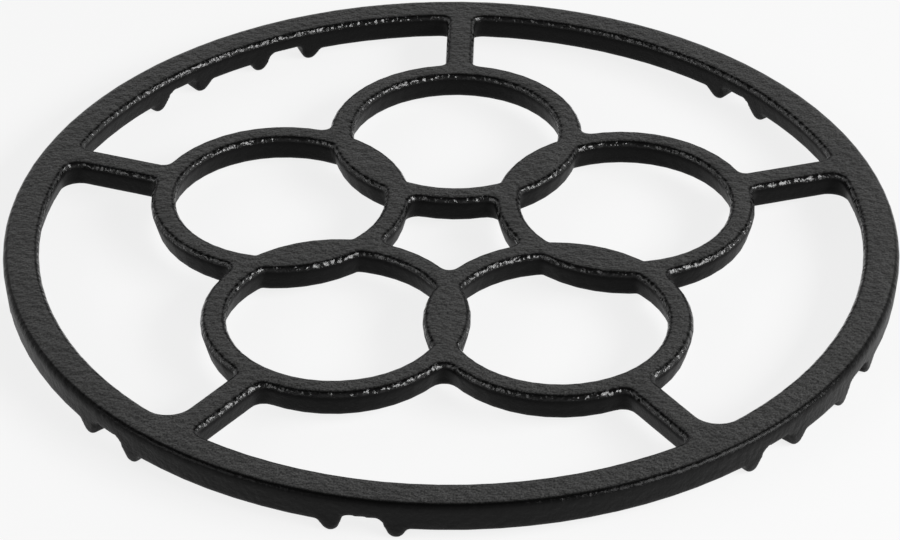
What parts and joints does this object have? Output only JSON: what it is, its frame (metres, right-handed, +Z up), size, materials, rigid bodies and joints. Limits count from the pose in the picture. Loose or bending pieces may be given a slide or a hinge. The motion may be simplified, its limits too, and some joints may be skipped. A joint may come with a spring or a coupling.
{
  "type": "wok ring",
  "caption": "Flat round cast iron wok ring with crossing rings on spokes and notches under the rim that sit over a hob's pan support.",
  "frame": {"origin": "centre of the circle on which the lug tips stand, at the bottom of the part", "axes": "+Z up through the middle of the ring, +Y along one spoke"},
  "size_m": [0.23, 0.23, 0.011],
  "materials": {
    "cast_iron": "fine sand-cast texture, black, satin"
  },
  "bodies": {
    "root": {"wok_ring": "cast_iron"}
  },
  "joints": []
}
